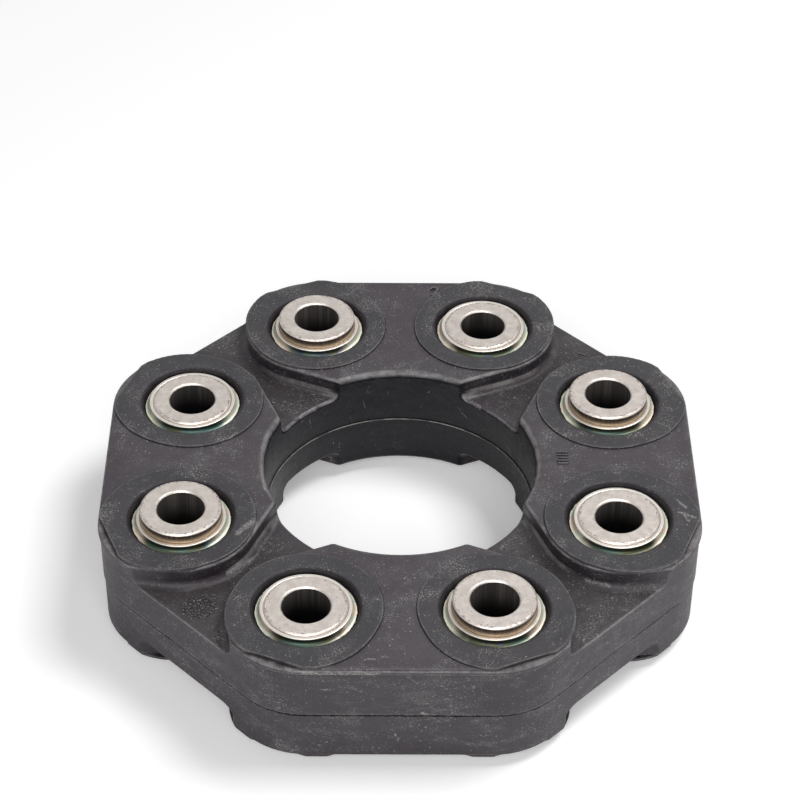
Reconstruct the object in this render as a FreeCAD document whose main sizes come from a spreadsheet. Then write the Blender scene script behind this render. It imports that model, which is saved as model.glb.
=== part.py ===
import FreeCAD, Part
import math
import os

import Sketcher

# Driveshaft coupling of the flex disc kind: an eight-cornered rubber ring, 153 mm across its flats,
# that holds eight steel sleeves for M12 bolts on a 120 mm pitch circle. Cord loops wound round
# neighbouring sleeves lie inside the rubber in three layers. The upper and lower layers join the
# pairs under the raised pads, and the middle layer joins the pairs across the valleys between pads.
#
# Frame: millimetres, origin at the middle of the coupling on the shaft axis, +Z along the shaft
# axis, +X and +Y through the middle of two raised pads. But for the outer wall, which is a little
# smaller below the seam of the mould, the coupling is the same again once it is turned over about X.

SIZES = (
    ("pitch_circle", 120.0, "circle through the eight bolt axes, diameter"),
    ("corner_radius", 21.17, "outer wall about each bolt axis"),
    ("hole_radius", 35.3, "central hole"),
    ("pad_height", 15.4, "middle plane to the surface of a raised pad"),
    ("valley_depth", 5.6, "pad surface down to a valley floor"),
    ("land_step", 0.5, "flat land round each sleeve, above the pad"),
    ("land_reach", 2.2, "by which a land is longer, outwards from the bolt axis"),
    ("pad_inset", 1.77, "outer wall in to a pad's side, round a bolt axis"),
    ("land_inset", 0.45, "pad's side in to the edge of the land"),
    ("land_edge", 0.2, "rounding of the land's edge"),
    ("mouth_angle", 22.0, "pad side near the hole, from the valley's middle line"),
    ("flare_angle", 53.0, "pad side near the outer wall, from the same line"),
    ("outer_round", 1.3, "upper and lower edge of the outer wall"),
    ("hole_round", 2.0, "upper and lower edge of the hole"),
    ("brow_depth", 0.45, "step down round the outside of the pads"),
    ("brow_inset", 0.5, "outer wall in to that step, along the flats"),
    ("brow_reach", 19.2, "bolt axis out to that step, where it cuts straight across a corner"),
    ("cap_height", 1.5, "a pad's surface down to the ledge under its outer edge"),
    ("wall_setback", 0.45, "width of that ledge"),
    ("rim_round", 1.1, "rims of the valleys"),
    ("base_share", 0.55, "foot rounding of a pad's side, of half the narrowest valley"),
    ("seam_drop", 0.6, "middle plane down to the seam of the mould"),
    ("seam_step", 0.3, "outer wall below the seam, set in from the one above"),
    ("seam_depth", 0.3, "groove at the seam, and flash at the seam in the hole"),
    ("seam_width", 0.3, "height of that groove and of that flash"),
    ("bore_radius", 6.05, "bore of a sleeve, clearance on an M12 bolt"),
    ("sleeve_radius", 10.4, "outside of a sleeve"),
    ("sleeve_length", 35.2, "length of a sleeve"),
    ("sleeve_stagger", 1.2, "each sleeve is moved up or down by this"),
    ("sleeve_chamfer", 0.4, "both edges of both sleeve ends"),
    ("flange_radius", 16.5, "outside of a collar's flange"),
    ("flange_thickness", 1.2, "flange of a collar"),
    ("flange_cover", 1.2, "pad surface down to the top of the flange"),
    ("neck_wall", 1.05, "wall of a collar's neck"),
    ("neck_height", 1.8, "neck of a collar above its flange"),
    ("neck_root", 1.1, "rounding where the neck leaves the flange"),
    ("neck_edge", 0.3, "edges of the neck's rim"),
    ("lip_clearance", 0.05, "neck rounding out to the foot of the rubber lip"),
    ("lip_slope", 1.0, "foot of the rubber lip out to its edge"),
    ("lip_round", 1.5, "rounding of that edge"),
    ("cord_radius", 17.3, "outside of a cord loop about a bolt axis"),
    ("cord_middle_height", 10.4, "height of a middle cord loop"),
    ("spacer_thickness", 0.8, "washer between two layers of cord"),
)

doc = FreeCAD.newDocument("driveshaft_coupling")
sheet = doc.addObject("Spreadsheet::Sheet", "sizes")
for row, (alias, number, remark) in enumerate(SIZES, start=1):
    sheet.set("A%d" % row, alias)
    sheet.set("B%d" % row, str(number))
    sheet.set("C%d" % row, remark)
    sheet.setAlias("B%d" % row, alias)
doc.recompute()


class Driven:
    """A size with its present value and the expression that drives it."""

    def __init__(self, value, text):
        self.value = value
        self.text = text

    def join(self, other, sign, value):
        text = other.text if isinstance(other, Driven) else repr(other)
        return Driven(value, "(%s %s %s)" % (self.text, sign, text))

    def __add__(self, other):
        return self.join(other, "+", self.value + number_of(other))

    def __sub__(self, other):
        return self.join(other, "-", self.value - number_of(other))

    def __mul__(self, other):
        return self.join(other, "*", self.value * number_of(other))

    def __rsub__(self, other):
        return Driven(number_of(other) - self.value, "(%r - %s)" % (other, self.text))

    def __neg__(self):
        return Driven(-self.value, "(0 - %s)" % self.text)


def number_of(size):
    return size.value if isinstance(size, Driven) else size


def size(alias):
    return Driven(float(sheet.get(alias)), "sizes.%s" % alias)


HALF_STEP = 22.5
STEP = 45.0
COS = math.cos(math.radians(HALF_STEP))
SIN = math.sin(math.radians(HALF_STEP))

# A pair of bolt axes lies at pair_reach from the shaft axis, pair_half to each side.
pitch_radius = size("pitch_circle") * 0.5
pair_reach = pitch_radius * COS
pair_half = pitch_radius * SIN
side_reach = pair_reach + size("corner_radius")

pad_top = size("pad_height")
land_top = pad_top + size("land_step")
floor_top = pad_top - size("valley_depth")
wall_top = pad_top - size("cap_height")
upper_wall = size("corner_radius") - size("wall_setback")
lower_wall = upper_wall - size("seam_step")
seam_low = -(size("seam_drop") + size("seam_width") * 0.5)
seam_high = seam_low + size("seam_width")
pad_arc = size("corner_radius") - size("pad_inset")
land_radius = pad_arc - size("land_inset")
base_round = (pair_half - pad_arc) * size("base_share")

sleeve_radius = size("sleeve_radius")
flange_top = pad_top - size("flange_cover")
flange_bottom = flange_top - size("flange_thickness")
neck_radius = sleeve_radius + size("neck_wall")
rim_top = flange_top + size("neck_height")
lip_foot = neck_radius + size("neck_root") + size("lip_clearance")
lip_edge = lip_foot + size("lip_slope")
cord_radius = size("cord_radius")
middle_top = size("cord_middle_height") * 0.5
spacer_top = middle_top + size("spacer_thickness")


def origin_feature(body, role):
    for feature in body.Origin.OriginFeatures:
        if feature.Role == role:
            return feature
    raise RuntimeError("no %s in %s" % (role, body.Label))


def new_body(label):
    body = doc.addObject("PartDesign::Body", label)
    body.Label = label
    return body


def new_sketch(body, name, role, turn=0.0, lift=None):
    """Sketch on one of the body's own planes, turned about and lifted along the plane's normal."""
    sketch = body.newObject("Sketcher::SketchObject", name)
    sketch.AttachmentSupport = (origin_feature(body, role), [""])
    sketch.MapMode = "FlatFace"
    height = lift.value if lift else 0.0
    sketch.AttachmentOffset = FreeCAD.Placement(
        FreeCAD.Vector(0, 0, height), FreeCAD.Rotation(FreeCAD.Vector(0, 0, 1), turn))
    if lift:
        sketch.setExpression(".AttachmentOffset.Base.z", lift.text)
    return sketch


def drive(sketch, name, driven, *what):
    """Dimension a sketch with a constraint whose value follows the sheet."""
    index = sketch.addConstraint(Sketcher.Constraint(*what, driven.value))
    sketch.renameConstraint(index, name)
    sketch.setExpression("Constraints.%s" % name, driven.text)


def point(x, y):
    return FreeCAD.Vector(number_of(x), number_of(y), 0)


def draw_polygon(sketch, corners):
    """Closed outline; each corner is placed by its own two dimensions, or lies on the axis."""
    count = len(corners)
    for k in range(count):
        ends = point(*corners[k]), point(*corners[(k + 1) % count])
        sketch.addGeometry(Part.LineSegment(*ends), False)
    for k in range(count):
        sketch.addConstraint(Sketcher.Constraint("Coincident", k, 2, (k + 1) % count, 1))
    for k, (x, y) in enumerate(corners):
        if isinstance(x, Driven):
            drive(sketch, "x_%d" % k, x, "DistanceX", -1, 1, k, 1)
        else:
            sketch.addConstraint(Sketcher.Constraint("PointOnObject", k, 1, -2))
        drive(sketch, "y_%d" % k, y, "DistanceY", -1, 1, k, 1)


def arc(centre, radius, start, end):
    circle = Part.Circle(centre, FreeCAD.Vector(0, 0, 1), number_of(radius))
    return Part.ArcOfCircle(circle, math.radians(start), math.radians(end))


def draw_hull(sketch, radius):
    """Eight arcs about the bolt axes joined by the flats that touch them."""
    arcs = []
    for k in range(8):
        angle = math.radians(HALF_STEP + STEP * k)
        centre = point(pitch_radius.value * math.cos(angle), pitch_radius.value * math.sin(angle))
        arcs.append(sketch.addGeometry(arc(centre, radius, STEP * k, STEP * (k + 1)), False))
    lines = []
    for k in range(8):
        start = sketch.Geometry[arcs[k]].EndPoint
        end = sketch.Geometry[arcs[(k + 1) % 8]].StartPoint
        lines.append(sketch.addGeometry(Part.LineSegment(start, end), False))
    ring = sketch.addGeometry(Part.Circle(point(0, 0), FreeCAD.Vector(0, 0, 1), pitch_radius.value), True)
    sketch.addConstraint(Sketcher.Constraint("Coincident", ring, 3, -1, 1))
    drive(sketch, "pitch_%d" % ring, pitch_radius, "Radius", ring)
    for k in range(8):
        sketch.addConstraint(Sketcher.Constraint("Tangent", arcs[k], 2, lines[k], 1))
        sketch.addConstraint(Sketcher.Constraint("Tangent", lines[k], 2, arcs[(k + 1) % 8], 1))
        sketch.addConstraint(Sketcher.Constraint("PointOnObject", arcs[k], 3, ring))
        if k:
            sketch.addConstraint(Sketcher.Constraint("Equal", arcs[0], arcs[k]))
            sketch.addConstraint(Sketcher.Constraint("Equal", lines[0], lines[k]))
    sketch.addConstraint(Sketcher.Constraint("Vertical", lines[7]))
    drive(sketch, "corner_%d" % ring, radius, "Radius", arcs[0])


def draw_circle(sketch, radius, x=None):
    """Circle about the sketch's origin, or about a point on its horizontal axis."""
    centre = point(x if x else 0, 0)
    circle = sketch.addGeometry(Part.Circle(centre, FreeCAD.Vector(0, 0, 1), radius.value), False)
    drive(sketch, "radius_%d" % circle, radius, "Radius", circle)
    if x:
        sketch.addConstraint(Sketcher.Constraint("PointOnObject", circle, 3, -1))
        drive(sketch, "centre_%d" % circle, x, "DistanceX", -1, 1, circle, 3)
    else:
        sketch.addConstraint(Sketcher.Constraint("Coincident", circle, 3, -1, 1))


def draw_slot(sketch, radius, centres=None):
    """Long slot round a pair of bolt axes; returns its two arcs."""
    reach, half = pair_reach.value, pair_half.value
    far = sketch.addGeometry(arc(point(reach, half), radius, 0, 180), False)
    near = sketch.addGeometry(arc(point(reach, -half), radius, 180, 360), False)
    inner = point(reach - radius.value, half), point(reach - radius.value, -half)
    outer = point(reach + radius.value, -half), point(reach + radius.value, half)
    left = sketch.addGeometry(Part.LineSegment(*inner), False)
    right = sketch.addGeometry(Part.LineSegment(*outer), False)
    sketch.addConstraint(Sketcher.Constraint("Tangent", far, 2, left, 1))
    sketch.addConstraint(Sketcher.Constraint("Tangent", left, 2, near, 1))
    sketch.addConstraint(Sketcher.Constraint("Tangent", near, 2, right, 1))
    sketch.addConstraint(Sketcher.Constraint("Tangent", right, 2, far, 1))
    sketch.addConstraint(Sketcher.Constraint("Equal", far, near))
    drive(sketch, "slot_%d" % far, radius, "Radius", far)
    if centres:
        sketch.addConstraint(Sketcher.Constraint("Coincident", far, 3, centres[0], 3))
        sketch.addConstraint(Sketcher.Constraint("Coincident", near, 3, centres[1], 3))
    else:
        drive(sketch, "reach", pair_reach, "DistanceX", -1, 1, far, 3)
        drive(sketch, "half", pair_half, "DistanceY", -1, 1, far, 3)
        sketch.addConstraint(Sketcher.Constraint("Symmetric", far, 3, near, 3, -1))
    return far, near


def draw_land(sketch):
    """Slot from a bolt axis outwards, on the sketch's horizontal axis."""
    start, end, radius = pitch_radius.value, (pitch_radius + size("land_reach")).value, land_radius.value
    inner = sketch.addGeometry(arc(point(start, 0), radius, 90, 270), False)
    outer = sketch.addGeometry(arc(point(end, 0), radius, 270, 450), False)
    lower = sketch.addGeometry(Part.LineSegment(point(start, -radius), point(end, -radius)), False)
    upper = sketch.addGeometry(Part.LineSegment(point(end, radius), point(start, radius)), False)
    sketch.addConstraint(Sketcher.Constraint("Tangent", inner, 2, lower, 1))
    sketch.addConstraint(Sketcher.Constraint("Tangent", lower, 2, outer, 1))
    sketch.addConstraint(Sketcher.Constraint("Tangent", outer, 2, upper, 1))
    sketch.addConstraint(Sketcher.Constraint("Tangent", upper, 2, inner, 1))
    sketch.addConstraint(Sketcher.Constraint("Equal", inner, outer))
    sketch.addConstraint(Sketcher.Constraint("PointOnObject", inner, 3, -1))
    sketch.addConstraint(Sketcher.Constraint("PointOnObject", outer, 3, -1))
    drive(sketch, "radius", land_radius, "Radius", inner)
    drive(sketch, "bolt", pitch_radius, "DistanceX", -1, 1, inner, 3)
    drive(sketch, "end", pitch_radius + size("land_reach"), "DistanceX", -1, 1, outer, 3)


def draw_loop(sketch):
    """Section of a cord loop, wound on two sleeves."""
    centres = draw_slot(sketch, cord_radius)
    draw_slot(sketch, sleeve_radius, centres)


def draw_valley(sketch):
    """Plan of a valley: two pad sides that close in to a neck between the bolt axes."""
    mouth, flare = size("mouth_angle"), size("flare_angle")
    near_end, far_end = pair_reach * 0.4, side_reach * 1.2
    reach, half, radius = pair_reach.value, pair_half.value, pad_arc.value
    lean, spread = math.radians(mouth.value), math.radians(flare.value)
    x_1, y_1 = reach - radius * math.sin(lean), half - radius * math.cos(lean)
    x_2, y_2 = reach + radius * math.sin(spread), half - radius * math.cos(spread)
    y_0 = y_1 + (x_1 - near_end.value) * math.tan(lean)
    y_3 = y_2 + (far_end.value - x_2) * math.tan(spread)
    x_0, x_3 = near_end.value, far_end.value
    add = sketch.addGeometry
    side_in = add(Part.LineSegment(point(x_0, y_0), point(x_1, y_1)), False)
    side_arc = add(arc(point(reach, half), radius, 270 - mouth.value, 270 + flare.value), False)
    side_out = add(Part.LineSegment(point(x_2, y_2), point(x_3, y_3)), False)
    end_out = add(Part.LineSegment(point(x_3, y_3), point(x_3, -y_3)), False)
    other_out = add(Part.LineSegment(point(x_3, -y_3), point(x_2, -y_2)), False)
    other_arc = add(arc(point(reach, -half), radius, 90 - flare.value, 90 + mouth.value), False)
    other_in = add(Part.LineSegment(point(x_1, -y_1), point(x_0, -y_0)), False)
    end_in = add(Part.LineSegment(point(x_0, -y_0), point(x_0, y_0)), False)
    for first, second in ((side_in, side_arc), (side_arc, side_out), (other_out, other_arc), (other_arc, other_in)):
        sketch.addConstraint(Sketcher.Constraint("Tangent", first, 2, second, 1))
    for first, second in ((side_out, end_out), (end_out, other_out), (other_in, end_in), (end_in, side_in)):
        sketch.addConstraint(Sketcher.Constraint("Coincident", first, 2, second, 1))
    for first, second in ((side_arc, other_arc),):
        sketch.addConstraint(Sketcher.Constraint("Symmetric", first, 3, second, 3, -1))
        sketch.addConstraint(Sketcher.Constraint("Equal", first, second))
    for end in (end_out, end_in):
        sketch.addConstraint(Sketcher.Constraint("Symmetric", end, 1, end, 2, -1))
    drive(sketch, "reach", pair_reach, "DistanceX", -1, 1, side_arc, 3)
    drive(sketch, "half", pair_half, "DistanceY", -1, 1, side_arc, 3)
    drive(sketch, "radius", pad_arc, "Radius", side_arc)
    drive(sketch, "near_end", near_end, "DistanceX", -1, 1, end_in, 2)
    drive(sketch, "far_end", far_end, "DistanceX", -1, 1, end_out, 1)
    in_degrees = Driven(-lean, "-1 deg * %s" % mouth.text), Driven(spread, "1 deg * %s" % flare.text)
    drive(sketch, "mouth", in_degrees[0], "Angle", side_in)
    drive(sketch, "flare", in_degrees[1], "Angle", side_out)


def add_pad(body, sketch, length, symmetric=False, kind="PartDesign::Pad"):
    """Pad, or with the other kind a pocket upwards, by a driven length."""
    feature = body.newObject(kind, kind.split("::")[1].lower())
    feature.Profile = sketch
    feature.SideType = "Symmetric" if symmetric else "One side"
    feature.Length = length.value
    feature.setExpression("Length", length.text)
    if kind == "PartDesign::Pocket":
        feature.Reversed = not symmetric
    doc.recompute()
    return feature


def add_pattern(body, feature, count, mirrored=False):
    """Repeat a feature evenly about the shaft axis, and below the seam as well if asked."""
    pattern = body.newObject("PartDesign::MultiTransform", "repeat")
    pattern.Originals = [feature]
    polar = body.newObject("PartDesign::PolarPattern", "turn")
    polar.Axis = (origin_feature(body, "Z_Axis"), [""])
    polar.Angle = 360
    polar.Occurrences = count
    steps = [polar]
    if mirrored:
        mirror = body.newObject("PartDesign::Mirrored", "mirror")
        mirror.MirrorPlane = (origin_feature(body, "XY_Plane"), [""])
        steps.append(mirror)
    pattern.Transformations = steps
    body.Tip = pattern
    doc.recompute()
    return pattern


def add_fillet(body, edges, radius):
    base = body.Tip
    fillet = body.newObject("PartDesign::Fillet", "rounding")
    fillet.Base = (base, ["Edge%d" % k for k in edges])
    fillet.Radius = radius.value
    fillet.setExpression("Radius", radius.text)
    doc.recompute()
    return fillet


def edges_where(shape, test):
    return [k for k, edge in enumerate(shape.Edges, start=1) if test(edge)]


def middle_of(edge):
    return edge.valueAt((edge.FirstParameter + edge.LastParameter) / 2)


def sharp_edges(shape):
    """Edges off the seam at which the two faces meet at more than 10 degrees."""
    found = []
    for k, edge in enumerate(shape.Edges, start=1):
        faces = shape.ancestorsOfType(edge, Part.Face)
        if len(faces) != 2:
            continue
        spot = middle_of(edge)
        if near(spot.z, seam_low.value):
            continue
        normals = [face.normalAt(*face.Surface.parameter(spot)) for face in faces]
        if normals[0].dot(normals[1]) < math.cos(math.radians(10)):
            found.append(k)
    return found


def near(first, second, slack=0.01):
    return abs(first - second) < slack


def circle_edges(shape, radius, height):
    return edges_where(shape, lambda edge: isinstance(edge.Curve, Part.Circle)
                       and near(edge.Curve.Radius, radius.value)
                       and near(abs(edge.Curve.Center.z), height.value))


# Rubber body: one moulding. The ring comes first, then its rounded edges. The lower half of the
# mould was smaller, so the ring stands further in below the seam.
rubber = new_body("rubber_body")
for name, radius, low, high in (
        ("lower_plan", lower_wall, -pad_top, seam_low), ("upper_plan", size("corner_radius"), seam_low, pad_top)):
    plan = new_sketch(rubber, name, "XY_Plane", 0, low)
    draw_hull(plan, radius)
    draw_circle(plan, size("hole_radius"))
    add_pad(rubber, plan, high - low)


def rings_at_pad_height(shape, in_hole):
    """Edges of the two end faces, round the hole or along the outer wall."""
    bound = (size("hole_radius").value + pair_reach.value) / 2
    return edges_where(shape, lambda edge: near(abs(edge.CenterOfMass.z), pad_top.value)
                       and near(abs(middle_of(edge).z), pad_top.value)
                       and (math.hypot(middle_of(edge).x, middle_of(edge).y) < bound) == in_hole)


add_fillet(rubber, rings_at_pad_height(rubber.Shape, False), size("outer_round"))
add_fillet(rubber, rings_at_pad_height(rubber.Shape, True), size("hole_round"))

# Valleys between the pads, four above and four below, with a rounded foot and a rounded rim.
valley_plan = new_sketch(rubber, "valley_plan", "XY_Plane", STEP, floor_top)
draw_valley(valley_plan)
valley = add_pad(rubber, valley_plan, size("valley_depth") + 2, kind="PartDesign::Pocket")
add_pattern(rubber, valley, 4, mirrored=True)


def on_pad_side(edge):
    """True on the foot of a pad's side: on a valley floor, away from both walls of the ring."""
    spot = middle_of(edge)
    if not (near(abs(spot.z), floor_top.value) and near(abs(edge.CenterOfMass.z), floor_top.value)):
        return False
    radius = math.hypot(spot.x, spot.y)
    direction = math.degrees(math.atan2(spot.y, spot.x)) % 90 - STEP
    reach = radius * math.cos(math.radians(direction))
    return radius > size("hole_radius").value + 0.01 and reach < (pair_reach + lower_wall).value - 0.01


add_fillet(rubber, edges_where(rubber.Shape, on_pad_side), base_round)
add_fillet(rubber, sharp_edges(rubber.Shape), size("rim_round"))

# The flat land that stands round each sleeve, on both sides of the ring. It is a little longer
# outwards, so that it runs out to the step round the outside of the pad. Its foot lies higher than
# that step, so nothing of it is left outside.
land_foot = size("brow_depth") * 0.8
land_plan = new_sketch(rubber, "land_plan", "XY_Plane", HALF_STEP, pad_top - land_foot)
draw_land(land_plan)
land = add_pad(rubber, land_plan, size("land_step") + land_foot)
add_pattern(rubber, land, 8, mirrored=True)
add_fillet(rubber, circle_edges(rubber.Shape, land_radius, land_top), size("land_edge"))


def brow_corners(inset, reach):
    """Outline of the step round the pads: near the wall along the flats, straight across a corner."""
    flat = side_reach - inset
    end = (pitch_radius + reach - flat * COS) * (1 / SIN)
    corners = []
    for k in range(8):
        c, s = math.cos(math.radians(STEP * k)), math.sin(math.radians(STEP * k))
        corners.append((flat * c + end * s, flat * s - end * c))
        corners.append((flat * c - end * s, flat * s + end * c))
    return corners


def cut_wall(name, low, high, radius=None, corners=None):
    """Set the outer wall back between two heights, to corners of this radius or to an outline."""
    wall_plan = new_sketch(rubber, name, "XY_Plane", 0, low)
    if corners:
        draw_polygon(wall_plan, corners)
    else:
        draw_hull(wall_plan, radius)
    draw_circle(wall_plan, pitch_radius * 1.6)
    add_pad(rubber, wall_plan, high - low, kind="PartDesign::Pocket")


# The step round the outside of the pads. Below the seam it lies further in, as the wall does.
brow_foot = pad_top - size("brow_depth")
brow_inset, brow_reach = size("brow_inset"), size("brow_reach")
lower_back = size("corner_radius") - lower_wall
cut_wall("upper_brow_plan", brow_foot, pad_top + 2, corners=brow_corners(brow_inset, brow_reach))
cut_wall("lower_brow_plan", -(pad_top + 2), -brow_foot,
         corners=brow_corners(brow_inset + lower_back, brow_reach - lower_back))

# Above the seam the outer wall stands back under the edges of the pads. The seam is a fine groove
# outside and flash in the hole.
cut_wall("upper_wall_plan", seam_high, wall_top, upper_wall)
cut_wall("seam_plan", seam_low, seam_high, lower_wall - size("seam_depth"))
flash_plan = new_sketch(rubber, "flash_plan", "XY_Plane", 0, seam_low)
draw_circle(flash_plan, size("hole_radius") + size("seam_depth"))
draw_circle(flash_plan, size("hole_radius") - size("seam_depth"))
add_pad(rubber, flash_plan, size("seam_width"))

# Room for a sleeve, its two collars and its two washers, turned about the bolt axis.
upper = (
    (0, land_top + 2),
    (lip_edge, land_top + 2),
    (lip_edge, land_top),
    (lip_foot, flange_top),
    (size("flange_radius"), flange_top),
    (size("flange_radius"), flange_bottom),
    (sleeve_radius, flange_bottom),
    (sleeve_radius, spacer_top),
    (cord_radius, spacer_top),
    (cord_radius, middle_top),
    (sleeve_radius, middle_top),
)
lower = tuple((x, -y) for x, y in reversed(upper))
bush_section = rubber.newObject("Sketcher::SketchObject", "bush_section")
bush_section.AttachmentSupport = (origin_feature(rubber, "XZ_Plane"), [""])
bush_section.MapMode = "FlatFace"
bush_section.AttachmentOffset = FreeCAD.Placement(
    point(pitch_radius * COS, 0) - FreeCAD.Vector(0, 0, pitch_radius.value * SIN),
    FreeCAD.Rotation(FreeCAD.Vector(0, 1, 0), HALF_STEP))
bush_section.setExpression(".AttachmentOffset.Base.x", pair_reach.text)
bush_section.setExpression(".AttachmentOffset.Base.z", (-pair_half).text)
draw_polygon(bush_section, upper + lower)
bush = rubber.newObject("PartDesign::Groove", "bush")
bush.Profile = bush_section
bush.ReferenceAxis = (bush_section, ["V_Axis"])
bush.Angle = 360
doc.recompute()
add_pattern(rubber, bush, 8)
add_fillet(rubber, circle_edges(rubber.Shape, lip_edge, land_top), size("lip_round"))

# Room for the cord loops: four above and four below in the pads, four at the seam.
loop_plan = new_sketch(rubber, "loop_plan", "XY_Plane", 0, spacer_top)
draw_loop(loop_plan)
loop = add_pad(rubber, loop_plan, flange_bottom - spacer_top, kind="PartDesign::Pocket")
add_pattern(rubber, loop, 4, mirrored=True)
middle_plan = new_sketch(rubber, "middle_plan", "XY_Plane", STEP)
draw_loop(middle_plan)
middle = add_pad(rubber, middle_plan, size("cord_middle_height"), symmetric=True, kind="PartDesign::Pocket")
add_pattern(rubber, middle, 4)


def place(body, angle, lift=None, turned_over=False):
    """Stand a piece made about its own axis on the bolt axis at this angle."""
    flip = FreeCAD.Rotation(FreeCAD.Vector(1, 0, 0), 180 if turned_over else 0)
    x, y = math.cos(math.radians(angle)), math.sin(math.radians(angle))
    height = lift.value if lift else 0.0
    body.Placement = FreeCAD.Placement(
        FreeCAD.Vector(pitch_radius.value * x, pitch_radius.value * y, height), flip)
    body.setExpression(".Placement.Base.x", (pitch_radius * x).text)
    body.setExpression(".Placement.Base.y", (pitch_radius * y).text)
    if lift:
        body.setExpression(".Placement.Base.z", lift.text)


def revolve(body, corners):
    section = new_sketch(body, "section", "XZ_Plane")
    draw_polygon(section, corners)
    turning = body.newObject("PartDesign::Revolution", "revolution")
    turning.Profile = section
    turning.ReferenceAxis = (section, ["V_Axis"])
    turning.Angle = 360
    doc.recompute()


# Sleeves: tube with both edges of both ends broken. Every second one stands higher.
half_length = size("sleeve_length") * 0.5
bevel = size("sleeve_chamfer")
bore = size("bore_radius")
for number in range(1, 9):
    body = new_body("sleeve_%d" % number)
    revolve(body, (
        (bore + bevel, half_length), (sleeve_radius - bevel, half_length),
        (sleeve_radius, half_length - bevel), (sleeve_radius, bevel - half_length),
        (sleeve_radius - bevel, -half_length), (bore + bevel, -half_length),
        (bore, bevel - half_length), (bore, half_length - bevel)))
    stagger = size("sleeve_stagger")
    place(body, HALF_STEP + STEP * (number - 1), stagger if number % 2 else -stagger)

# Collars: pressed on the sleeve from each end, with a flange that holds the upper cord layer in.
for side in ("upper", "lower"):
    for number in range(1, 9):
        body = new_body("collar_%s_%d" % (side, number))
        flange_radius = size("flange_radius")
        revolve(body, (
            (sleeve_radius, flange_bottom), (flange_radius, flange_bottom), (flange_radius, flange_top),
            (neck_radius, flange_top), (neck_radius, rim_top), (sleeve_radius, rim_top)))
        add_fillet(body, circle_edges(body.Shape, neck_radius, flange_top), size("neck_root"))
        rim = circle_edges(body.Shape, neck_radius, rim_top) + circle_edges(body.Shape, sleeve_radius, rim_top)
        add_fillet(body, rim, size("neck_edge"))
        place(body, HALF_STEP + STEP * (number - 1), turned_over=side == "lower")

# Washers between the cord layers.
for side in ("upper", "lower"):
    for number in range(1, 9):
        body = new_body("spacer_%s_%d" % (side, number))
        ring = new_sketch(body, "ring", "XY_Plane", 0, middle_top)
        draw_circle(ring, cord_radius)
        draw_circle(ring, sleeve_radius)
        add_pad(body, ring, size("spacer_thickness"))
        place(body, HALF_STEP + STEP * (number - 1), turned_over=side == "lower")

# Cord loops, each wound round two sleeves.
for side, low, high, turn in (
        ("upper", spacer_top, flange_bottom, 0.0),
        ("middle", -middle_top, middle_top, HALF_STEP * 2),
        ("lower", -flange_bottom, -spacer_top, 0.0)):
    for number in range(1, 5):
        body = new_body("cord_%s_%d" % (side, number))
        ring = new_sketch(body, "ring", "XY_Plane", 0, low)
        draw_loop(ring)
        add_pad(body, ring, high - low)
        body.Placement = FreeCAD.Placement(
            FreeCAD.Vector(0, 0, 0), FreeCAD.Rotation(FreeCAD.Vector(0, 0, 1), turn + 90.0 * (number - 1)))

doc.recompute()
failed = [item.Name for item in doc.Objects if "Invalid" in item.State or "Error" in item.State]
if failed:
    raise RuntimeError("failed objects: %s" % failed)
pieces = [item for item in doc.Objects if item.isDerivedFrom("PartDesign::Body")]
for piece in pieces:
    if piece.Shape.isNull() or not piece.Shape.isValid():
        raise RuntimeError("bad shape: %s" % piece.Label)
    if len(piece.Shape.Solids) != 1:
        raise RuntimeError("%s has %d solids" % (piece.Label, len(piece.Shape.Solids)))

os.makedirs("parts", exist_ok=True)
for piece in pieces:
    piece.Shape.exportStep("parts/%s.step" % piece.Label)
whole = Part.makeCompound([piece.Shape for piece in pieces]).optimalBoundingBox()
print("%d pieces, %.1f x %.1f x %.1f mm" % (len(pieces), whole.XLength, whole.YLength, whole.ZLength))
print("rubber %.0f mm3 in %d faces" % (rubber.Shape.Volume, len(rubber.Shape.Faces)))
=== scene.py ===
import bpy
import bmesh
import math
from mathutils import Matrix, Vector, noise


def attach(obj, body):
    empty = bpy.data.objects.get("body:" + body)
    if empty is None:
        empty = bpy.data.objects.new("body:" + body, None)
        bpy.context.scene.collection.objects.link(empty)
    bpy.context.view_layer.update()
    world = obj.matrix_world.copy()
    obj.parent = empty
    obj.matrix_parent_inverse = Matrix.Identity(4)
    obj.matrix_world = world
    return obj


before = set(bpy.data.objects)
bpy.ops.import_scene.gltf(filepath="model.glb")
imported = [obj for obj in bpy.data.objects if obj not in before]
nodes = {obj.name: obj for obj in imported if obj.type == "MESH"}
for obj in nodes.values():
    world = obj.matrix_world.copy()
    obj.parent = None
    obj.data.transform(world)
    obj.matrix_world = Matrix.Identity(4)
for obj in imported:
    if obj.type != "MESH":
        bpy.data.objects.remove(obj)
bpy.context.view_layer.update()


# Rubber body: one moulding of black natural rubber, matt, dusty and scuffed on the pads, rubbed at the edges
# and darker in valleys.
# Painted highlights lie along its rims and ridges, and painted shade in its pockets, creases, seam, hole and
# on the steep sides of the pads. It is cured round the sleeves and the cord loops.
# Lengths in the materials are millimetres, and heights are counted from the coupling's middle plane.
PITCH_RADIUS = 60.0
FIRST_BOLT = math.radians(22.5)
BOLT_STEP = math.radians(45.0)
PAD_TOP = 15.4
LAND_TOP = 15.9
VALLEY_FLOOR = 9.8
HOLE_RADIUS = 35.3
SEAM_HEIGHT = -0.6
BORE_RADIUS = 6.05
SLEEVE_RADIUS = 10.4
COLLAR_RIM = 16.0
TABLE_HEIGHT = -18.85


def add_node(tree, kind, sockets=(), **settings):
    """New node; sockets gives each input, by name or place, a value or another node's output."""
    made = tree.nodes.new(kind)
    for name, value in settings.items():
        setattr(made, name, value)
    for socket, value in dict(sockets).items():
        if isinstance(value, bpy.types.NodeSocket):
            tree.links.new(value, made.inputs[socket])
        else:
            made.inputs[socket].default_value = value
    return made


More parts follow.
